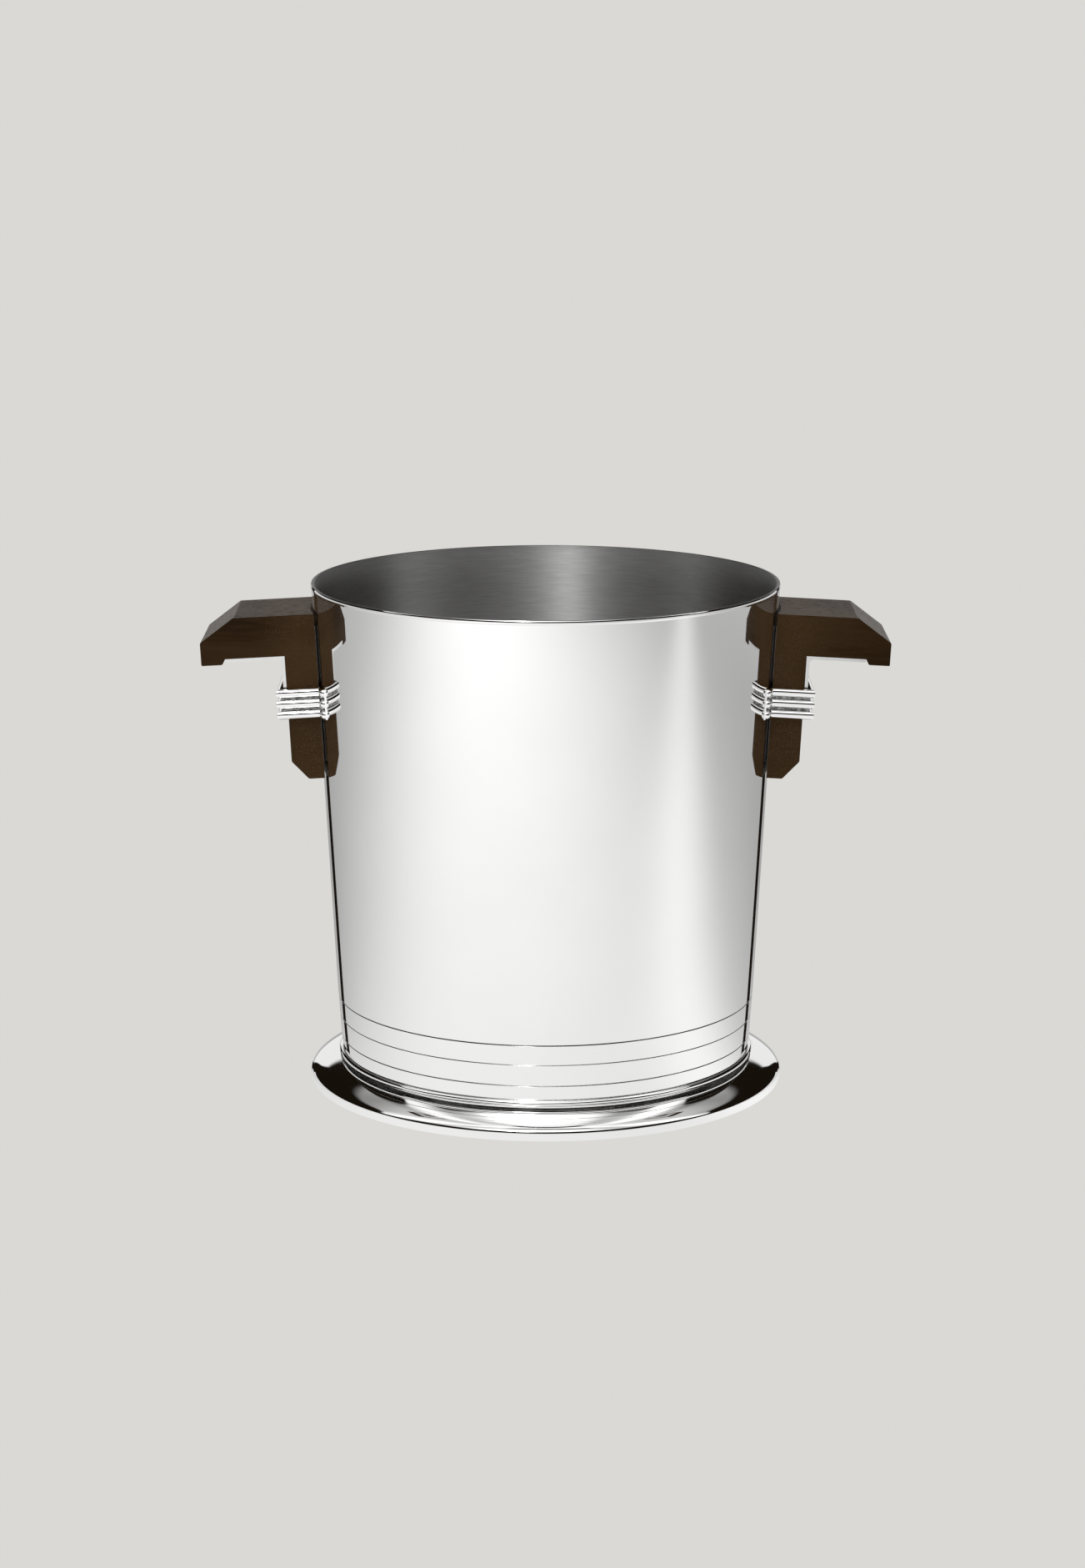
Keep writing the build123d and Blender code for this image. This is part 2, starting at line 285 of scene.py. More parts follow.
def patina_and_shade_silver(name):
    """Silver in a recess, grey-black, matte and grainy: partly patina where polish does not reach, partly
    painted shade.

    The grooves below the highest one are painted brighter at the front, a painted reflection of the lit
    floor in front of the bucket.
    """
    mat, t, bsdf = new_material(name)
    position, z, angle, _ = t.round_axis()
    round_drum = t.vector(t.math("MULTIPLY", angle, 5.0), t.math("MULTIPLY", z, 160.0), 0.0)
    patch = t.noise(round_drum, 1.0, 2.0, 0.5)
    grain = t.noise(position, 1600.0, 2.0, 0.6)
    mixed = t.math("MULTIPLY_ADD", grain, 0.35, t.math("MULTIPLY", patch, 0.65))
    tint = t.ramp(mixed, [(0.36, (0.02, 0.019, 0.017, 1)), (0.50, (0.07, 0.068, 0.062, 1)),
                          (0.64, (0.30, 0.30, 0.29, 1))])
    # painted reflection: the groove rounds below the highest one turn bright silver towards the front
    front = t.bell(angle, -math.pi / 2, 0.5)
    grooves = t.math("MULTIPLY", t.step(z, 12.0 * MM, 12.5 * MM), t.step(z, 34.0 * MM, 32.0 * MM))
    painted_front_reflection = t.math("MULTIPLY", t.math("MULTIPLY", front, grooves), 0.85)
    t.link(t.mix(painted_front_reflection, tint, (0.92, 0.92, 0.915, 1)), bsdf.inputs["Base Color"])
    t.link(t.math("MULTIPLY_ADD", grain, 0.25, 0.25), bsdf.inputs["Roughness"])
    t.link(t.bump(grain, 0.3, 0.03 * MM), bsdf.inputs["Normal"])
    return mat


def satin_silver(name, dark, light, rough):
    """Satin silver: fine brush marks running round the axis."""
    mat, t, bsdf = new_material(name)
    position, z, angle, radius = t.round_axis()

    def marks(turns, per_metre, detail):
        vector = t.vector(t.math("MULTIPLY", angle, turns), t.math("MULTIPLY", z, per_metre),
                          t.math("MULTIPLY", radius, per_metre))
        return t.noise(vector, 1.0, detail, 0.6)

    fine = marks(9.0, 2600.0, 3.0)
    broad = marks(6.0, 700.0, 2.0)
    cloud = t.noise(position, 30.0, 3.0, 0.5)
    mixed = t.math("MULTIPLY_ADD", cloud, 0.15, t.math("MULTIPLY", fine, 0.7))
    mixed = t.math("MULTIPLY_ADD", broad, 0.15, mixed)
    t.link(t.ramp(mixed, [(0.36, dark), (0.64, light)]), bsdf.inputs["Base Color"])
    t.link(t.math("MULTIPLY_ADD", fine, 0.12, rough - 0.06), bsdf.inputs["Roughness"])
    tangent = t.add("ShaderNodeTangent", direction_type="RADIAL", axis="Z")
    bsdf.inputs["Anisotropic"].default_value = 0.9
    bsdf.inputs["Anisotropic Rotation"].default_value = 0.25
    t.link(tangent.outputs[0], bsdf.inputs["Tangent"])
    t.link(t.bump(t.math("MULTIPLY_ADD", broad, 0.2, fine), 0.14, 0.02 * MM), bsdf.inputs["Normal"])
    return mat


def wood(name):
    """Very dark oiled wood: dashes of grain on top, painted darker there as painted shade where the pits
    break the sheen, pale flecks elsewhere, thickest on the stem.
    """
    mat, t, bsdf = new_material(name, metallic=0.0)
    coordinates = t.add("ShaderNodeTexCoord")
    position = coordinates.outputs["Object"]
    x, _, _ = t.split(position)
    _, _, normal_z = t.split(coordinates.outputs["Normal"])
    top = t.step(t.math("ABSOLUTE", normal_z), 0.45, 0.6)
    tone = t.noise(t.scaled(position, (14, 45, 30)), 1.0, 3.0, 0.55, 0.6)
    grain = t.noise(t.scaled(position, (70, 900, 900)), 1.0, 3.0, 0.6)
    dashes = t.noise(t.scaled(position, (330, 2300, 2300)), 1.0, 1.5, 0.5)
    dots = t.noise(t.scaled(position, (3300, 3300, 2300)), 1.0, 1.0, 0.5)
    stem = t.step(t.math("ABSOLUTE", x), 126.0 * MM, 104.0 * MM)
    cluster = t.noise(t.scaled(position, (75, 75, 60)), 1.0, 2.0, 0.5)
    crowd = t.math("MULTIPLY_ADD", stem, 0.12, t.math("MULTIPLY", cluster, 0.22))
    fleck = t.step(t.math("ADD", dots, crowd), 0.83, 0.90)
    fleck = t.math("MULTIPLY", fleck, t.math("SUBTRACT", 1.0, top))
    # painted shade: the pores on upward faces are painted as dark dashes, where they break the sheen
    shaded_dash = t.step(t.math("MULTIPLY_ADD", cluster, 0.10, dashes), 0.63, 0.70)
    shaded_dash = t.math("MULTIPLY", shaded_dash, top)
    brown = t.ramp(tone, [(0.30, (0.0175, 0.0078, 0.0016, 1)), (0.52, (0.0290, 0.0140, 0.0038, 1)),
                          (0.72, (0.0480, 0.0260, 0.0100, 1))])
    brown = t.mix(t.math("MULTIPLY", stem, 0.45), brown, (0.068, 0.037, 0.014, 1))
    streaked = t.mix(t.math("MULTIPLY", t.step(grain, 0.45, 0.65), 0.3), brown, (0.050, 0.028, 0.012, 1))
    flecked = t.mix(t.math("MULTIPLY", fleck, 0.6), streaked, (0.130, 0.090, 0.058, 1))
    shade_dashed = t.mix(t.math("MULTIPLY", shaded_dash, 0.8), flecked, (0.014, 0.008, 0.005, 1))
    t.link(shade_dashed, bsdf.inputs["Base Color"])
    bsdf.inputs["Specular IOR Level"].default_value = 0.045
    bsdf.inputs["Sheen Weight"].default_value = 0.08
    bsdf.inputs["Sheen Roughness"].default_value = 0.3
    bsdf.inputs["Sheen Tint"].default_value = (1.0, 0.74, 0.52, 1)
    pits = t.math("MAXIMUM", fleck, shaded_dash)
    rough = t.math("MULTIPLY_ADD", grain, 0.14, 0.22)
    t.link(t.math("MULTIPLY_ADD", pits, 0.3, rough), bsdf.inputs["Roughness"])
    height = t.math("SUBTRACT", t.math("MULTIPLY", grain, 0.5), pits)
    t.link(t.bump(height, 0.35, 0.06 * MM), bsdf.inputs["Normal"])
    return mat


def strap_metal(name):
    """Nickel-grey strip metal, drawn lengthwise: soft gloss and fine parallel lines."""
    mat, t, bsdf = new_material(name)
    position = t.add("ShaderNodeTexCoord").outputs["Object"]
    lines = t.noise(t.scaled(position, (60, 2600, 60)), 1.0, 2.0, 0.6)
    cloud = t.noise(position, 60.0, 2.0, 0.5)
    mixed = t.math("MULTIPLY_ADD", lines, 0.6, t.math("MULTIPLY", cloud, 0.4))
    tint = t.ramp(mixed, [(0.35, (0.66, 0.66, 0.65, 1)), (0.65, (0.80, 0.80, 0.79, 1))])
    t.link(tint, bsdf.inputs["Base Color"])
    t.link(t.math("MULTIPLY_ADD", lines, 0.12, 0.14), bsdf.inputs["Roughness"])
    t.link(t.bump(lines, 0.15, 0.02 * MM), bsdf.inputs["Normal"])
    return mat


def recessed_silver(name):
    """Silver strip, painted dark and matte between the ribs as painted shade, except on the tabs that lie
    on the drum wall.
    """
    mat, t, bsdf = new_material(name)
    position = t.add("ShaderNodeTexCoord").outputs["Object"]
    x, y, z = t.split(position)
    lean = t.math("MULTIPLY", t.math("ABSOLUTE", x), math.sin(TAPER))
    rise = t.math("MULTIPLY_ADD", z, math.cos(TAPER), lean)
    middle = (wall_radius(HANDLE_TOP) * math.sin(TAPER) + HANDLE_TOP * math.cos(TAPER) - COLLAR_DROP) * MM
    off = t.math("ABSOLUTE", t.math("SUBTRACT", rise, middle))
    # painted shade: this mask darkens the band between the ribs
    between = t.step(off, (RIB_PITCH + 0.9) * MM, (RIB_PITCH + 0.4) * MM)
    wall = t.math("MULTIPLY_ADD", z, SLOPE, wall_radius(0.0) * MM)
    proud = t.math("SUBTRACT", t.length(x, y), wall)
    past_tab = t.step(proud, (TAB_THICKNESS + 0.1) * MM, (TAB_THICKNESS + 0.3) * MM)
    between = t.math("MULTIPLY", between, past_tab)
    grain = t.noise(t.scaled(position, (500, 500, 1800)), 1.0, 3.0, 0.6)
    painted_shade = t.ramp(grain, [(0.36, (0.07, 0.07, 0.067, 1)), (0.50, (0.20, 0.20, 0.195, 1)),
                          (0.64, (0.46, 0.46, 0.45, 1))])
    t.link(t.mix(between, (0.93, 0.93, 0.925, 1), painted_shade), bsdf.inputs["Base Color"])
    rough = t.math("MULTIPLY_ADD", grain, 0.05, 0.02)
    t.link(t.math("MULTIPLY_ADD", between, 0.3, rough), bsdf.inputs["Roughness"])
    t.link(t.bump(t.math("MULTIPLY", grain, between), 0.4, 0.04 * MM), bsdf.inputs["Normal"])
    return mat


silver = polished_silver("silver_polished")
patina_and_shade = patina_and_shade_silver("silver_patina_and_shade")
# inside of the drum and rim: satin silver with a base colour well below the polished silver, painted shade
# inside the drum
shaded_interior = satin_silver("silver_interior_shaded", (0.54, 0.54, 0.535, 1), (0.67, 0.67, 0.665, 1), 0.45)
# rim top and corners: the satin silver painted near-black grey, painted shade on the rim's edge
shaded_lip = satin_silver("silver_lip_shaded", (0.13, 0.13, 0.127, 1), (0.21, 0.21, 0.205, 1), 0.4)
satin = satin_silver("silver_satin", (0.40, 0.40, 0.395, 1), (0.58, 0.58, 0.57, 1), 0.28)
steel = polished_silver("screw_steel", rough=0.16, scratch=0.2)
dark_wood = wood("handle_wood")
strap_silver = strap_metal("strap_silver")
collar_silver = recessed_silver("collar_silver")


# ---------------------------------------------------------------- turned pieces
class Outline:
    """Closed outline of a turned piece: smooth runs of (radius, height, normal), sharp where two meet.

    It goes up the outer side and down the inner one, so outward lies to the right of its direction.
    """

    def __init__(self, start):
        self.here = start
        self.runs = []

    def line(self, end, finish=0):
        across = end[0] - self.here[0]
        up = end[1] - self.here[1]
        size = math.hypot(across, up)
        normal = (up / size, -across / size)
        self.runs.append(([(*self.here, *normal), (*end, *normal)], finish))
        self.here = end

    def arc(self, centre, radius, begin, end, finish=0, cuts=10):
        side = 1 if end > begin else -1
        points = []
        for i in range(cuts + 1):
            a = begin + (end - begin) * i / cuts
            c, s = math.cos(a), math.sin(a)
            points.append((centre[0] + radius * c, centre[1] + radius * s, side * c, side * s))
        self.runs.append((points, finish))
        self.here = points[-1][:2]

    def bezier(self, a, b, end, finish=0, cuts=32):
        points = []
        for i in range(cuts + 1):
            s = i / cuts
            weights = ((1 - s) ** 3, 3 * s * (1 - s) ** 2, 3 * s * s * (1 - s), s ** 3)
            slopes = (-3 * (1 - s) ** 2, 3 * (1 - s) * (1 - 3 * s), 3 * s * (2 - 3 * s), 3 * s * s)
            spots = (self.here, a, b, end)
            place = [sum(w * p[k] for w, p in zip(weights, spots)) for k in (0, 1)]
            along = [sum(w * p[k] for w, p in zip(slopes, spots)) for k in (0, 1)]
            size = math.hypot(*along)
            points.append((*place, along[1] / size, -along[0] / size))
        self.runs.append((points, finish))
        self.here = end


def ride_for(obj, slot, *nodes):
    """Links a new piece, which stands for these CAD nodes, to the part's one body."""
    scene.collection.objects.link(obj)
    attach(obj, "root")
    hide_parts(*nodes)


def turned(name, outline, finishes):
    """Mesh made by turning the outline round Z, with exact normals along each run."""
    rings, rows = [], []
    for points, finish in outline.runs:
        for first, second in zip(points, points[1:]):
            rings.append(first)
            rows.append((first, second, finish))
    angles = [2 * math.pi * j / SEGMENTS for j in range(SEGMENTS)]
    turns = [(math.cos(a), math.sin(a)) for a in angles]
    verts = [(r * c * MM, r * s * MM, z * MM) for r, z, *_ in rings for c, s in turns]
    faces, normals, indices = [], [], []
    for k, (first, second, finish) in enumerate(rows):
        low, high = k * SEGMENTS, (k + 1) % len(rings) * SEGMENTS
        for j in range(SEGMENTS):
            n = (j + 1) % SEGMENTS
            faces.append((low + j, low + n, high + n, high + j))
            indices.append(finish)
            for point, turn in ((first, j), (first, n), (second, n), (second, j)):
                c, s = turns[turn]
                normals.append((point[2] * c, point[2] * s, point[3]))
    mesh = bpy.data.meshes.new(name)
    mesh.from_pydata(verts, [], faces)
    for finish in finishes:
        mesh.materials.append(finish)
    mesh.polygons.foreach_set("material_index", indices)
    mesh.shade_smooth()
    mesh.normals_split_custom_set(normals)
    mesh.update()
    return bpy.data.objects.new(name, mesh)


def three_point_arc(outline, middle, end, finish=0, cuts=12):
    """Adds the arc from the outline's end through the middle point to the end point."""
    (ax, ay), (bx, by), (cx, cy) = outline.here, middle, end
    a, b, c = ax * ax + ay * ay, bx * bx + by * by, cx * cx + cy * cy
    twice = 2 * (ax * (by - cy) + bx * (cy - ay) + cx * (ay - by))
    x = (a * (by - cy) + b * (cy - ay) + c * (ay - by)) / twice
    y = (a * (cx - bx) + b * (ax - cx) + c * (bx - ax)) / twice
    first = math.atan2(ay - y, ax - x)
    last = math.atan2(cy - y, cx - x)
    if last < first:
        last += 2 * math.pi
    outline.arc((x, y), math.hypot(ax - x, ay - y), first, last, finish, cuts)


def build_drum():
    """Drum wall: bands at the base with a fine ledge and a quarter-round at each groove, satin inside; the
    lower part of each quarter-round and the bottom face are dark with patina and painted shade, and the
    inside is darkened with painted shade.
    """
    # material 1 is the dark silver: patina and painted shade on the groove rounds and the bottom face
    polish, painted_shade, brushed = 0, 1, 2
    seat = wall_radius(DRUM_BOTTOM) - BAND_STEP * len(GROOVES)
    outline = Outline((seat, DRUM_BOTTOM))
    for level, (z, shade_turn) in enumerate(zip(GROOVES, GROOVE_SHADE_TURNS)):
        lower = wall_radius(z) - BAND_STEP * (len(GROOVES) - level)
        step = BAND_STEP * (len(GROOVES) - level - 1)
        centre_z = z + GROOVE_DEPTH
        centre_r = wall_radius(centre_z) - step - GROOVE_DEPTH / math.cos(TAPER)
        outline.line((lower - LEDGE_ROUND * SLOPE, z - LEDGE_ROUND), polish)
        outline.arc((lower - LEDGE_ROUND, z - LEDGE_ROUND), LEDGE_ROUND, 0.0, math.pi / 2, polish, 5)
        outline.line((centre_r, z), painted_shade)
        turn = math.radians(shade_turn)
        outline.arc((centre_r, centre_z), GROOVE_DEPTH, -math.pi / 2, turn, painted_shade, 8)
        outline.arc((centre_r, centre_z), GROOVE_DEPTH, turn, -TAPER, polish, 14)
    outline.line((SHELL_TOP_RADIUS, SHELL_TOP), polish)
    outline.line((inner_radius(SHELL_TOP), SHELL_TOP), polish)
    outline.line((inner_radius(DRUM_BOTTOM), DRUM_BOTTOM), brushed)
    outline.line((seat, DRUM_BOTTOM), painted_shade)
    return turned("drum_wall", outline, (silver, patina_and_shade, shaded_interior))


def build_rim():
    """Rim wire: softly bulging and polished outside, flat and grey satin on top, fine round corners; the
    top and both corners are painted dark grey, painted shade.
    """
    # the third material is the rim's dark grey satin: painted shade on the top and both round corners
    polish, brushed, painted_shade = 0, 1, 2
    inside = inner_radius(SHELL_TOP)
    outside = SHELL_TOP_RADIUS
    corner = RIM_EDGE * (1 - math.sqrt(0.5))
    outline = Outline((inside, SHELL_TOP))
    outline.line((outside, SHELL_TOP), polish)
    crown = (outside + RIM_PROUD, (SHELL_TOP + HEIGHT) / 2)
    three_point_arc(outline, crown, (outside, HEIGHT - RIM_EDGE), polish)
    three_point_arc(outline, (outside - corner, HEIGHT - corner), (outside - RIM_EDGE, HEIGHT), painted_shade)
    outline.line((inside + RIM_EDGE, HEIGHT), painted_shade)
    three_point_arc(outline, (inside + corner, HEIGHT - corner), (inside, HEIGHT - RIM_EDGE), painted_shade)
    outline.line((inside, SHELL_TOP), brushed)
    return turned("rim_bead", outline, (silver, shaded_interior, shaded_lip))


def build_ring():
    """Round wire seated against the drum just above the foot, matte and dark with patina and painted shade
    where it faces the foot.
    """
    polish, painted_shade = 0, 1
    centre_r = wall_radius(RING_HEIGHT) - BAND_STEP * len(GROOVES) + RING_STAND_OFF
    reach = math.acos(-RING_STAND_OFF / RING_RADIUS)
    start = (centre_r + RING_RADIUS * math.cos(-reach), RING_HEIGHT + RING_RADIUS * math.sin(-reach))
    outline = Outline(start)
    outline.arc((centre_r, RING_HEIGHT), RING_RADIUS, -reach, RING_SHADE_TURN, painted_shade, 4)
    outline.arc((centre_r, RING_HEIGHT), RING_RADIUS, RING_SHADE_TURN, reach, polish, 44)
    outline.line(start, painted_shade)
    return turned("base_wire", outline, (silver, patina_and_shade))


def build_foot():
    """Foot: domed flange turned down into a short upright edge, hollow beneath."""
    polish, painted_shade, brushed = 0, 1, 2
    seat = wall_radius(DRUM_BOTTOM) - BAND_STEP * len(GROOVES) + SEAT_WIDTH
    flat = seat + FLAT_WIDTH
    outline = Outline((FOOT_RADIUS - FOOT_EDGE_BREAK, 0.0))
    outline.line((FOOT_RADIUS, FOOT_EDGE_BREAK), polish)
    outline.line((FOOT_RADIUS, FOOT_EDGE_TOP), polish)
    outline.arc((FOOT_RADIUS - FOOT_ROUND, FOOT_EDGE_TOP), FOOT_ROUND, 0.0, FOOT_ROUND_TURN, polish, 20)
    lean = FOOT_ROUND_TURN + math.pi / 2
    edge_r, edge_z = outline.here
    outline.bezier(
        (edge_r + DOME_EDGE_REACH * math.cos(lean), edge_z + DOME_EDGE_REACH * math.sin(lean)),
        (flat + DOME_TOP_REACH, DRUM_BOTTOM - DOME_TOP_DROP),
        (flat, DRUM_BOTTOM - FLAT_DROP),
        polish,
        64,
    )
    # seat and inner flat under the drum: dark silver, patina and painted shade between the drum and the
    # foot
    outline.line((seat, DRUM_BOTTOM), painted_shade)
    outline.line((FOOT_LIP, DRUM_BOTTOM), painted_shade)
    outline.line((FOOT_LIP, DRUM_BOTTOM - FOOT_SHEET), brushed)
    outline.line((seat, DRUM_BOTTOM - FOOT_SHEET), brushed)
    outline.line((seat + UNDERSIDE_REACH, DRUM_BOTTOM - UNDERSIDE_DROP), brushed)
    outline.line((FOOT_RADIUS - FOOT_SHEET, FOOT_EDGE_TOP + UNDERSIDE_RISE), brushed)
    outline.line((FOOT_RADIUS - FOOT_SHEET, 0.0), brushed)
    outline.line((FOOT_RADIUS - FOOT_EDGE_BREAK, 0.0), brushed)
    return turned("foot_flange", outline, (silver, patina_and_shade, satin))


ride_for(build_drum(), "silver_polished", "body_shell")
ride_for(build_rim(), "silver_polished", "rim_wire")
ride_for(build_ring(), "silver_polished", "base_ring")
ride_for(build_foot(), "silver_polished", "foot")

# ---------------------------------------------------------------- collar ribs
COLLAR_RADIUS = wall_radius(HANDLE_TOP - COLLAR_DROP * math.cos(TAPER))
TAB_ANGLE = math.asin((STEM_HALF_DEPTH + TAB_MARGIN) / COLLAR_RADIUS)
TAB_RADIUS = COLLAR_RADIUS + TAB_THICKNESS
SIDE_FACE = STEM_HALF_DEPTH + BAND_THICKNESS
OUTER_FACE = STRAP_FACE + BAND_THICKNESS
BEND_STEP = (SIDE_FACE - TAB_RADIUS * math.sin(TAB_ANGLE)) / math.cos(TAB_ANGLE)


def tab_point(reach, sign):
    """Point on a wall tab's outer face, this far beyond the bend, as (out from the wall, along Y)."""
    step = BEND_STEP + reach
    return (TAB_RADIUS * math.cos(TAB_ANGLE) - COLLAR_RADIUS - step * math.sin(TAB_ANGLE),
            sign * (TAB_RADIUS * math.sin(TAB_ANGLE) + step * math.cos(TAB_ANGLE)))


def rib_path():
    """Corners of a rib's foot line, from one tab's end to the other's."""
    return [tab_point(TAB_REACH, -1), tab_point(0, -1), (OUTER_FACE, -SIDE_FACE),
            (OUTER_FACE, SIDE_FACE), tab_point(0, 1), tab_point(TAB_REACH, 1)]


def join_rows(faces, first, second):
    """Adds the faces between two rows of points, a triangle where the rows share a point."""
    for k in range(len(first) - 1):
        quad = [first[k], second[k], second[k + 1], first[k + 1]]
        faces.append([v for n, v in enumerate(quad) if v not in quad[:n]])


def build_rib(name, side, level):
    """Half-round moulding along the band, mitred at its bends, with a quarter ball at each end."""
    cuts, ball_rows = 24, 12
    half = cuts // 2
    top_x = wall_radius(HANDLE_TOP)
    drop = COLLAR_DROP - level

    def place(out, along, up):
        """Row-frame position of a point given in the collar's own directions."""
        x = top_x - drop * math.sin(TAPER) + out * math.cos(TAPER) + up * math.sin(TAPER)
        z = HANDLE_TOP - drop * math.cos(TAPER) - out * math.sin(TAPER) + up * math.cos(TAPER)
        return (side * x * MM, along * MM, z * MM)

    path = rib_path()
    ways = []
    for a, b in zip(path, path[1:]):
        size = math.hypot(b[0] - a[0], b[1] - a[1])
        ways.append(((b[0] - a[0]) / size, (b[1] - a[1]) / size))
    outs = [(way[1], -way[0]) for way in ways]

    verts, faces, sections = [], [], []
    for i, spot in enumerate(path):
        before, after = outs[max(i - 1, 0)], outs[min(i, len(outs) - 1)]
        scale = 1 + before[0] * after[0] + before[1] * after[1]
        mitre = ((before[0] + after[0]) / scale, (before[1] + after[1]) / scale)
        section = []
        for k in range(cuts + 1):
            a = math.pi * k / cuts - math.pi / 2
            reach, up = RIB_RADIUS * math.cos(a), RIB_RADIUS * math.sin(a)
            section.append(len(verts))
            verts.append(place(spot[0] + reach * mitre[0], spot[1] + reach * mitre[1], up))
        sections.append(section)
    for first, second in zip(sections, sections[1:]):
        join_rows(faces, first, second)
        faces.append((first[cuts], second[cuts], second[0], first[0]))
    sharp = {frozenset(pair) for section in sections[1:-1] for pair in zip(section, section[1:])}

    for end, sign in ((0, -1), (-1, 1)):
        spot, out, way, section = path[end], outs[end], ways[end], sections[end]
        previous = section[:half + 1]
        for step in range(1, ball_rows):
            turn = math.pi * step / ball_rows
            row = []
            for k in range(half):
                a = math.pi / 2 * k / half
                reach, radial = RIB_RADIUS * math.sin(a), RIB_RADIUS * math.cos(a)
                up, forward = -radial * math.cos(turn), sign * radial * math.sin(turn)
                row.append(len(verts))
                verts.append(place(spot[0] + reach * out[0] + forward * way[0],
                                   spot[1] + reach * out[1] + forward * way[1], up))
            row.append(section[half])
            join_rows(faces, previous, row)
            previous = row
        join_rows(faces, previous, section[:half - 1:-1])
    mesh = bpy.data.meshes.new(name)
    mesh.from_pydata(verts, [], faces)
    return mesh, sharp


def finish_rib(name, side, level):
    """Closes the ball ends' flat backs, turns all faces outward and marks the sharp edges."""
    mesh, sharp = build_rib(name, side, level)
    bm = bmesh.new()
    bm.from_mesh(mesh)
    open_edges = [e for e in bm.edges if len(e.link_faces) == 1]
    bmesh.ops.holes_fill(bm, edges=open_edges, sides=0)
    bmesh.ops.recalc_face_normals(bm, faces=bm.faces)
    for edge in bm.edges:
        pair = frozenset(v.index for v in edge.verts)
        bent = edge.calc_face_angle(0.0) > math.radians(40)
        edge.smooth = not (bent or pair in sharp)
    for face in bm.faces:
        face.smooth = True
    bm.to_mesh(mesh)
    bm.free()
    mesh.materials.append(silver)
    return bpy.data.objects.new(name, mesh)


for side_name, side in (("left", -1), ("right", 1)):
    for place_name, level in (("top", RIB_PITCH), ("middle", 0.0), ("bottom", -RIB_PITCH)):
        node = f"{side_name}_collar_rib_{place_name}"
        ride_for(finish_rib(f"{side_name}_rib_{place_name}", side, level), "silver_polished", node)

# ---------------------------------------------------------------- CAD nodes that stay
finish_of = {
    "silver_polished": silver,
    "silver_satin": satin,
    "handle_wood": dark_wood,
    "screw_steel": steel,
}
slot_of = {entry["node"]: entry["material_slot"] for entry in frame["record"]["subparts"]}
for node, obj in frame["nodes"].items():
    finish = finish_of[slot_of[node]]
    if node.endswith("_strap"):
        finish = strap_silver
    elif node.endswith("_collar_band"):
        finish = collar_silver
    obj.data.materials.clear()
    obj.data.materials.append(finish)


# ---------------------------------------------------------------- stage
BACKDROP = srgb(218, 217, 213)
BLACK = srgb(22, 17, 11)
FLOOR_HALF = 12.0
FLOOR_DROP = 0.2 * MM

# Bearings are degrees from straight in front, positive towards +X. Heights are degrees above the horizon.
# Places and reaches are metres, and levels are shares of white.

# dark flags, which stand beyond these places beside the drum
FLAG_BEARING = 156.8
FLAG_HALF_WIDTH = 3.8
FLAG_EDGE = 0.5
FLAG_ORIGIN = (0.0925, -0.021)

# light on the floor: widths at its start, and how many degrees narrower they get a metre outwards
FLOOR_START = 0.1
FLOOR_END = 1.0
FLOOR_LEVEL = 0.225
FLOOR_RISE = 0.28
POOL_LEVEL = 0.66
POOL_BEARING = -29.5
POOL_LEFT = 100.0
POOL_RIGHT = 162.5
POOL_LEFT_SHRINK = 65.6
POOL_RIGHT_SHRINK = 131.6
STREAK_LEVEL = 0.26
STREAK_BEARING = 67.9
STREAK_WIDTH = 26.0
STREAK_SHRINK = 25.0
STREAK_LEAST_WIDTH = 6.0

# pale backdrop at the horizon, under the black band
HORIZON_LEVEL = 0.85
HORIZON_TOP = 6.0
HORIZON_TOP_BEHIND = 18.0

# white overhead, above the black band: each drop of its lower edge is (bearing where it starts, bearing
# where it is whole, degrees), and each gain is (height where it starts, height where it is whole, level)
OVERHEAD_LEVEL = 0.25
OVERHEAD_BOTTOM = 43.0
OVERHEAD_DROPS = ((110.0, 150.0, 5.5), (138.0, 178.0, 9.0))
OVERHEAD_GAINS = ((40.0, 56.0, 0.3), (64.0, 86.0, 0.45))
SIDE_BEARING = 88.0
SIDE_WIDTH = 12.0
SIDE_DROP = 16.0
SIDE_LEVEL = 0.5
BACK_BEARING = 180.0
BACK_WIDTH = 14.0
BACK_LEVEL = 0.6

# dark slit overhead, at this x and y of the direction
SLIT_CENTRE = (0.02, -0.150)

# key lights: bearing, width and strength of each
KEY_LIGHTS = ((-15.0, 5.5, 18.0), (-15.0, 30.0, 1.6), (82.0, 14.0, 0.8), (-100.0, 14.0, 0.5))


def two_way_emission(owner, kind, seen, lit):
    """Camera rays see one plain colour; light and reflections get the lit one, on top of BLACK."""
    owner.use_nodes = True
    owner.node_tree.nodes.clear()
    t = Tree(owner.node_tree)
    out = t.add("ShaderNodeOutputWorld" if kind == "ShaderNodeBackground" else "ShaderNodeOutputMaterial")
    path = t.add("ShaderNodeLightPath")
    plain = t.add(kind)
    plain.inputs[0].default_value = seen
    bright = t.add(kind)
    light = lit(t)
    t.link(t.vector(*(t.math("ADD", light, part) for part in BLACK[:3])), bright.inputs[0])
    mix = t.add("ShaderNodeMixShader")
    parts = (path.outputs["Is Camera Ray"], bright.outputs[0], plain.outputs[0])
    for socket, value in zip(mix.inputs, parts):
        t.link(value, socket)
    t.link(mix.outputs[0], out.inputs[0])


def outside_flags(t, turn):
    """0 within the dark flags that stand behind the bucket on both sides, 1 elsewhere."""
    off = t.math("ABSOLUTE", t.math("SUBTRACT", t.math("ABSOLUTE", turn), FLAG_BEARING))
    return t.step(off, FLAG_HALF_WIDTH, FLAG_HALF_WIDTH + FLAG_EDGE)


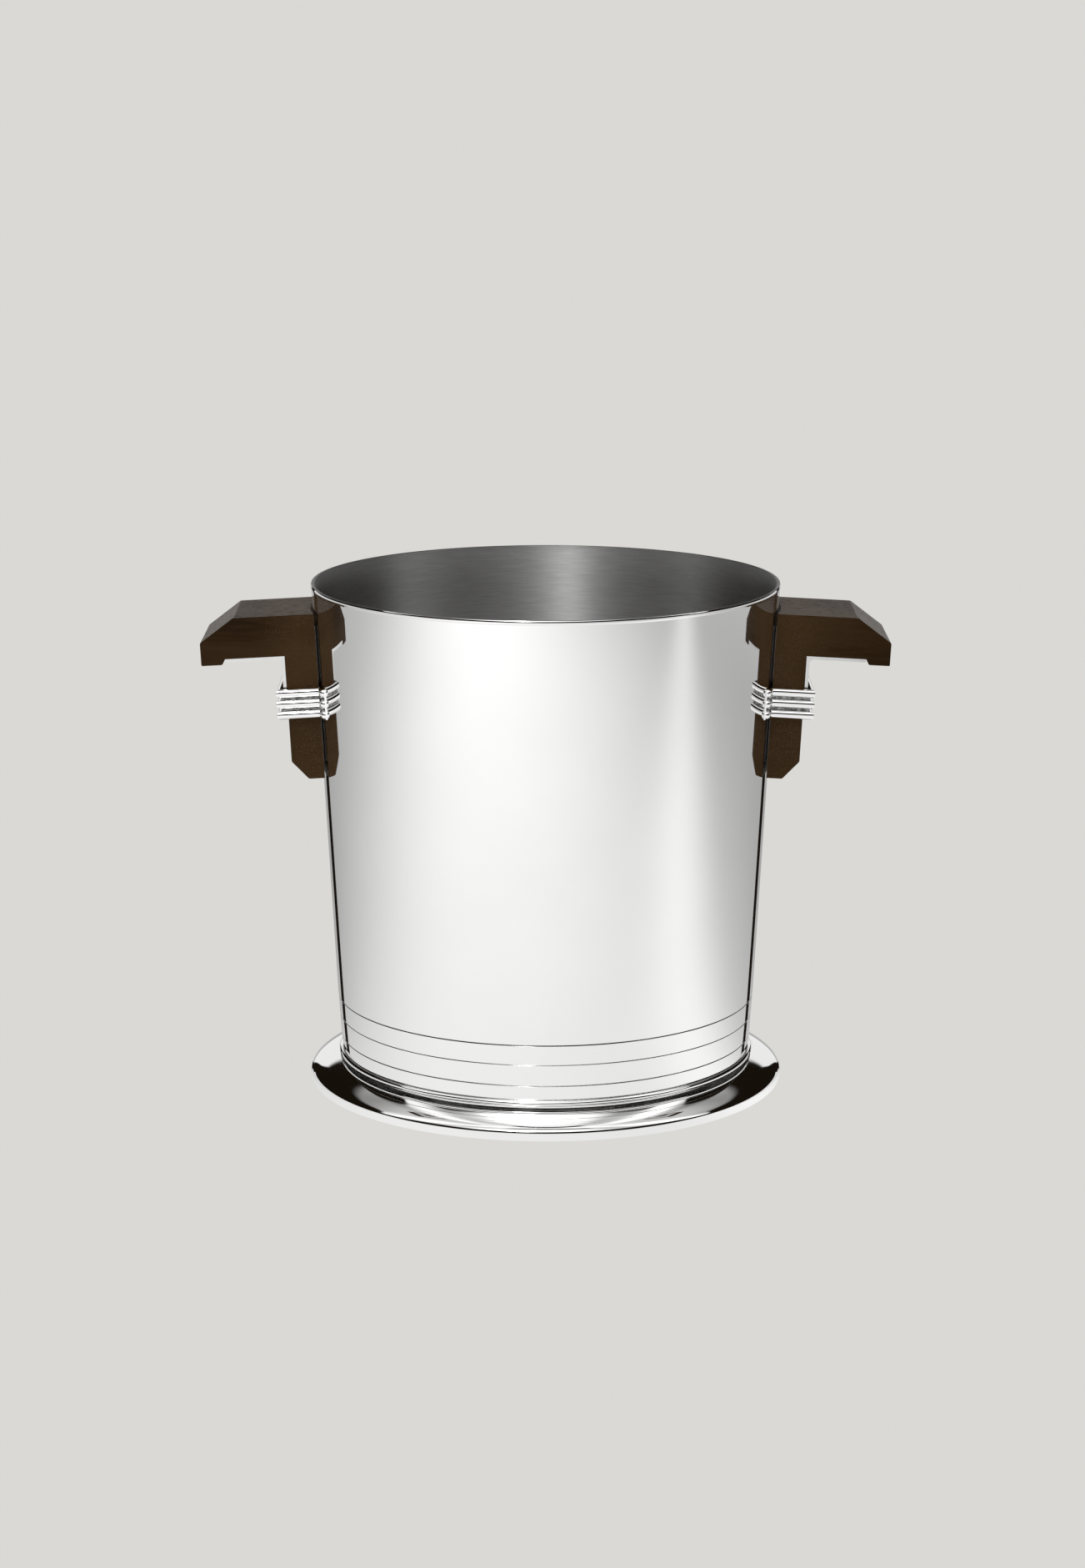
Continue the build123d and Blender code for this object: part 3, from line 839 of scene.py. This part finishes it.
def floor_light(t):
    """A wide pool and a narrow streak of light, both narrowing outwards, and the two dark flags.

    The flags' stripes start beside the drum, so their bearing is measured from there.
    """
    x, y, _ = t.split(t.add("ShaderNodeTexCoord").outputs["Object"])
    turn = t.bearing(x, y)
    reach = t.math("MINIMUM", t.math("SUBTRACT", t.length(x, y), FLOOR_START), FLOOR_END)
    right = t.math("GREATER_THAN", turn, POOL_BEARING)
    width = t.math("MULTIPLY_ADD", right, POOL_RIGHT - POOL_LEFT, POOL_LEFT)
    shrink = t.math("MULTIPLY_ADD", right, POOL_LEFT_SHRINK - POOL_RIGHT_SHRINK, -POOL_LEFT_SHRINK)
    pool = t.bell(turn, POOL_BEARING, t.math("MULTIPLY_ADD", reach, shrink, width))
    width = t.math("MULTIPLY_ADD", reach, -STREAK_SHRINK, STREAK_WIDTH)
    streak = t.bell(turn, STREAK_BEARING, t.math("MAXIMUM", width, STREAK_LEAST_WIDTH))
    light = t.math("MULTIPLY_ADD", reach, FLOOR_RISE, FLOOR_LEVEL)
    light = t.math("MULTIPLY_ADD", streak, STREAK_LEVEL, light)
    light = t.math("MULTIPLY_ADD", pool, POOL_LEVEL, light)
    beyond = t.math("MAXIMUM", t.math("SUBTRACT", t.math("ABSOLUTE", x), FLAG_ORIGIN[0]), 0.0)
    beside = t.bearing(beyond, t.math("SUBTRACT", y, FLAG_ORIGIN[1]))
    return t.math("MULTIPLY", light, outside_flags(t, beside))


def horizon_light(t, turn, aside, height):
    """Pale backdrop up to the black band, crossed by the dark flags and a dark card straight behind."""
    behind = t.step(aside, 157.0, 163.0)
    top = t.math("MULTIPLY_ADD", behind, HORIZON_TOP_BEHIND - HORIZON_TOP, HORIZON_TOP)
    card = t.math("MULTIPLY", t.step(height, 6.5, 7.5), t.step(height, 13.5, 12.5))
    card = t.math("MULTIPLY", card, t.step(aside, 170.0, 174.0))
    light = t.math("MULTIPLY", t.step(t.math("SUBTRACT", height, top), 1.0, -1.0), HORIZON_LEVEL)
    light = t.math("MULTIPLY", light, outside_flags(t, turn))
    return t.math("MULTIPLY", light, t.math("SUBTRACT", 1.0, card))


def overhead_light(t, turn, aside, height):
    """White overhead above the black band, brightest towards the key lights in front.

    Its lower edge is highest in front and comes down at the sides and behind.
    """
    side = t.bell(aside, SIDE_BEARING, SIDE_WIDTH)
    bottom = OVERHEAD_BOTTOM
    for start, whole, drop in OVERHEAD_DROPS:
        bottom = t.math("MULTIPLY_ADD", t.step(aside, start, whole), -drop, bottom)
    bottom = t.math("MULTIPLY_ADD", side, -SIDE_DROP, bottom)
    rest = OVERHEAD_LEVEL
    for start, whole, level in OVERHEAD_GAINS:
        rest = t.math("MULTIPLY_ADD", t.step(height, start, whole), level, rest)
    strip = t.math("MULTIPLY", t.bell(aside, BACK_BEARING, BACK_WIDTH), t.step(height, 56.0, 48.0))
    rest = t.math("MULTIPLY_ADD", strip, BACK_LEVEL, rest)
    rest = t.math("MULTIPLY_ADD", side, SIDE_LEVEL, rest)
    front = t.step(aside, 62.0, 30.0)
    glow = t.math("MAXIMUM", front, rest)
    key = 0.0
    for centre, width, strength in KEY_LIGHTS:
        key = t.math("MULTIPLY_ADD", t.bell(turn, centre, width), strength, key)
    key = t.math("MULTIPLY", key, t.step(height, 72.0, 62.0))
    lit = t.step(t.math("SUBTRACT", height, bottom), -1.5, 2.5)
    return t.math("MULTIPLY", lit, t.math("ADD", glow, key))


def room_light(t):
    """Pale backdrop at the horizon, a black band, and white overhead with a dark slit in it."""
    x, y, z = t.split(t.add("ShaderNodeTexCoord").outputs["Generated"])
    turn = t.bearing(x, y)
    aside = t.math("ABSOLUTE", turn)
    height = t.math("MULTIPLY", t.math("ARCSINE", z), 180 / math.pi)
    across = t.math("ABSOLUTE", t.math("SUBTRACT", x, SLIT_CENTRE[0]))
    ahead = t.math("ABSOLUTE", t.math("SUBTRACT", y, SLIT_CENTRE[1]))
    slit = t.math("MULTIPLY", t.step(ahead, 0.062, 0.050), t.step(across, 0.24, 0.16))
    overhead = t.math("MULTIPLY", overhead_light(t, turn, aside, height), t.math("SUBTRACT", 1.0, slit))
    return t.math("ADD", horizon_light(t, turn, aside, height), overhead)


corners = [(x * FLOOR_HALF, y * FLOOR_HALF, 0) for x, y in ((-1, -1), (1, -1), (1, 1), (-1, 1))]
floor_mesh = bpy.data.meshes.new("floor")
floor_mesh.from_pydata(corners, [], [(0, 1, 2, 3)])
floor = bpy.data.objects.new("floor", floor_mesh)
scene.collection.objects.link(floor)
floor.location.z = -FLOOR_DROP
floor_paint = bpy.data.materials.new("floor")
floor_mesh.materials.append(floor_paint)
two_way_emission(floor_paint, "ShaderNodeEmission", BACKDROP, floor_light)

world = bpy.data.worlds.new("studio")
scene.world = world
two_way_emission(world, "ShaderNodeBackground", BACKDROP, room_light)
